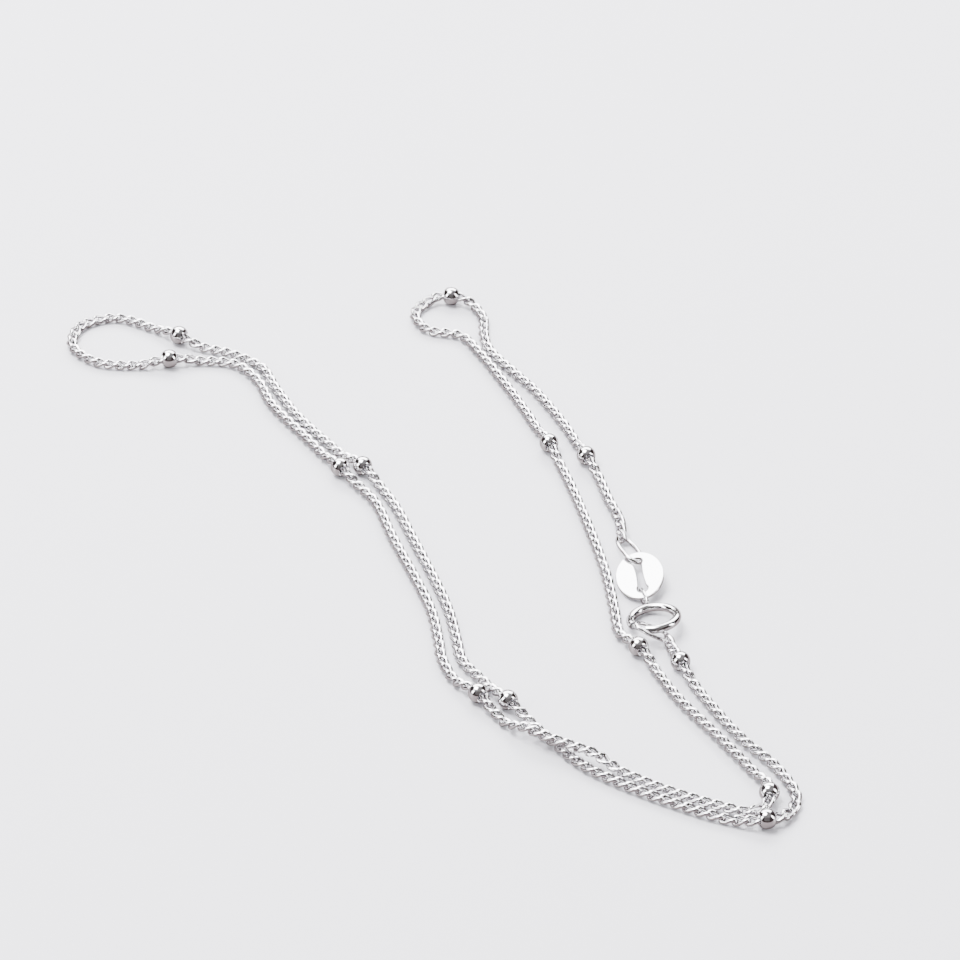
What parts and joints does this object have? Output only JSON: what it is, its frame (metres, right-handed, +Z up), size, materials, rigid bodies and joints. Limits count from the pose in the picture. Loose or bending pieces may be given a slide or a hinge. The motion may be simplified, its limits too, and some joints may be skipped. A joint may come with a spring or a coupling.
{
  "type": "cuban link necklace",
  "caption": "Fine silver curb chain necklace with round bead stations, spring ring clasp and a plain oval tag, lying doubled on a surface.",
  "frame": {"origin": "on the surface that the necklace lies on, under the middle of its bounding box", "axes": "+Z up from the surface, +Y from the near tip towards the two far folds, +X towards the clasp side"},
  "size_m": [0.079, 0.0914, 0.0022],
  "materials": {
    "chain_silver": "polished silver curb chain",
    "bead_silver": "mirror-polished silver",
    "clasp_silver": "mirror-polished silver",
    "tag_silver": "polished silver sheet",
    "spring_steel": "drawn wire"
  },
  "bodies": {
    "necklace": {"chain_long_strand": "chain_silver", "chain_short_strand": "chain_silver", "bead_01": "bead_silver", "bead_02": "bead_silver", "bead_03": "bead_silver", "bead_04": "bead_silver", "bead_05": "bead_silver", "bead_06": "bead_silver", "bead_07": "bead_silver", "bead_08": "bead_silver", "bead_09": "bead_silver", "bead_10": "bead_silver", "bead_11": "bead_silver", "bead_12": "bead_silver", "bead_13": "bead_silver", "chain_end_link_tag": "chain_silver", "chain_end_link_clasp": "chain_silver", "tag_jump_ring": "clasp_silver", "end_jump_ring": "clasp_silver", "oval_tag": "tag_silver", "clasp_ring": "clasp_silver"},
    "bolt": {"clasp_bolt": "spring_steel"}
  },
  "joints": [
    {"name": "clasp_open", "type": "hinge", "parent": "necklace", "child": "bolt", "pos_m": [0.02591, -0.01379, 0.00117], "axis": [0.128, -0.1959, -0.9722], "range_deg": [0, 48], "stiffness_Nm_per_rad": 0.0001}
  ]
}
